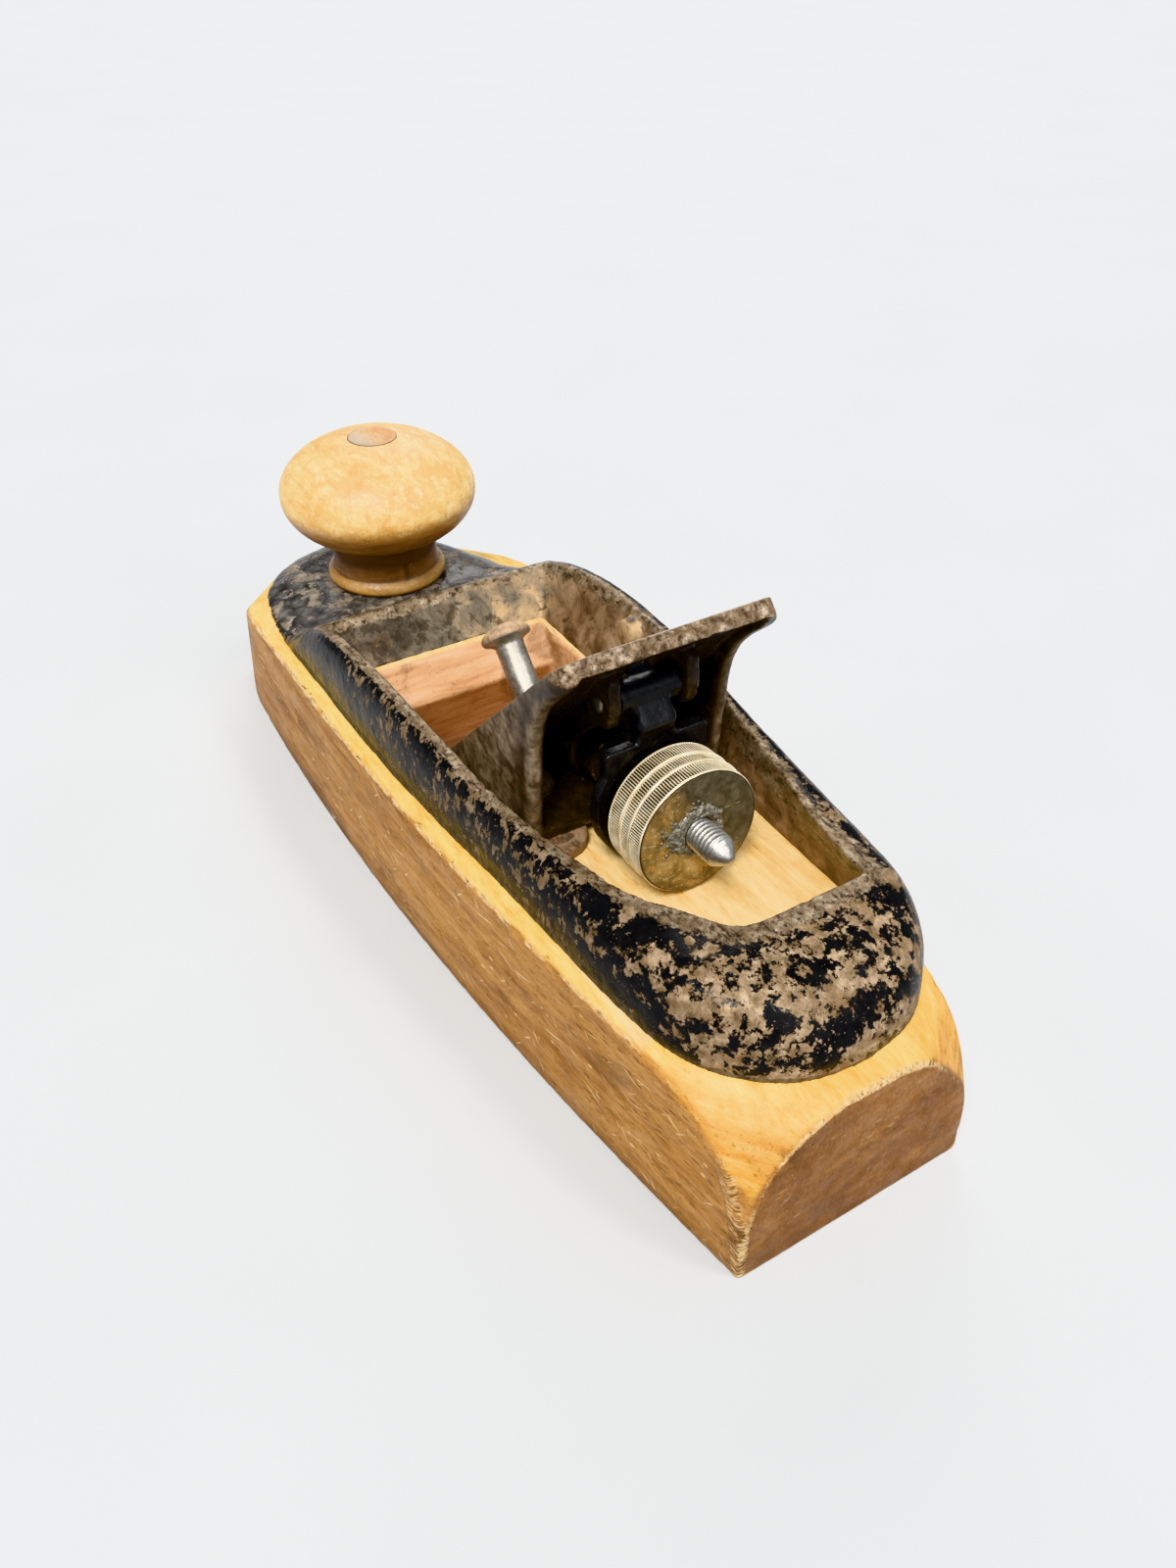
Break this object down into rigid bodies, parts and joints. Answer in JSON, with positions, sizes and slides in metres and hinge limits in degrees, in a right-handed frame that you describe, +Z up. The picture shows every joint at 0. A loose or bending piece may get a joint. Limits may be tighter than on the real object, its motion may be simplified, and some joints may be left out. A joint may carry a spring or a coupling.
{
  "type": "transitional bench plane",
  "caption": "Wooden-bodied bench plane with a cast iron top frame, frog, screw depth adjuster with knurled wheel and yoke lever, and a turned front knob.",
  "frame": {"origin": "middle of the sole, on the sole plane", "axes": "+X towards the toe, +Y to the left when facing the toe, +Z up"},
  "size_m": [0.2286, 0.0778, 0.0874],
  "materials": {
    "beech_body": "worn oiled beech, darker on the sides and the heel, with scratches",
    "japanned_frame": "black japanning chipped to rusty tan iron",
    "japanned_frog": "black japanning, gloss, with a machined bed face",
    "beech_knob": "pale turned beech, worn smooth",
    "beech_plug": "end grain plug, dull",
    "steel": "bright steel, partly rusted",
    "brass_wheel": "dull brass with brown patina on the face",
    "brass_collar": "dark aged brass",
    "japanned_yoke": "dark worn iron, light grey at the tips"
  },
  "bodies": {
    "plane_body": {"wood_body": "beech_body", "top_frame": "japanned_frame", "frog": "japanned_frog", "front_knob": "beech_knob", "knob_plug": "beech_plug", "knob_screw": "steel", "knob_washer": "steel", "frame_screws": "steel", "frog_screws": "steel", "frog_washers": "steel", "cap_screw": "steel", "adjusting_stud": "steel", "yoke_pin": "steel"},
    "collar": {"thrust_collar": "brass_collar"},
    "wheel": {"adjusting_wheel": "brass_wheel", "wheel_bush": "steel"},
    "yoke": {"yoke_lever": "japanned_yoke"}
  },
  "joints": [
    {"name": "wheel_travel", "type": "slide", "parent": "plane_body", "child": "collar", "axis": [0.9986, 0, -0.0523], "range_m": [-0.002, 0.002]},
    {"name": "wheel_spin", "type": "hinge", "parent": "collar", "child": "wheel", "pos_m": [-0.0623, 0, 0.05095], "axis": [0.9986, 0, -0.0523], "range_deg": [-720, 720]},
    {"name": "yoke_tilt", "type": "hinge", "parent": "plane_body", "child": "yoke", "pos_m": [-0.043, 0, 0.071], "axis": [0, -1, 0], "range_deg": [-6, 6]}
  ],
  "couplings": [
    {"joint": "wheel_spin", "follows": "wheel_travel", "rad_per_m": 6283.1},
    {"joint": "yoke_tilt", "follows": "wheel_travel", "rad_per_m": 48.75}
  ]
}
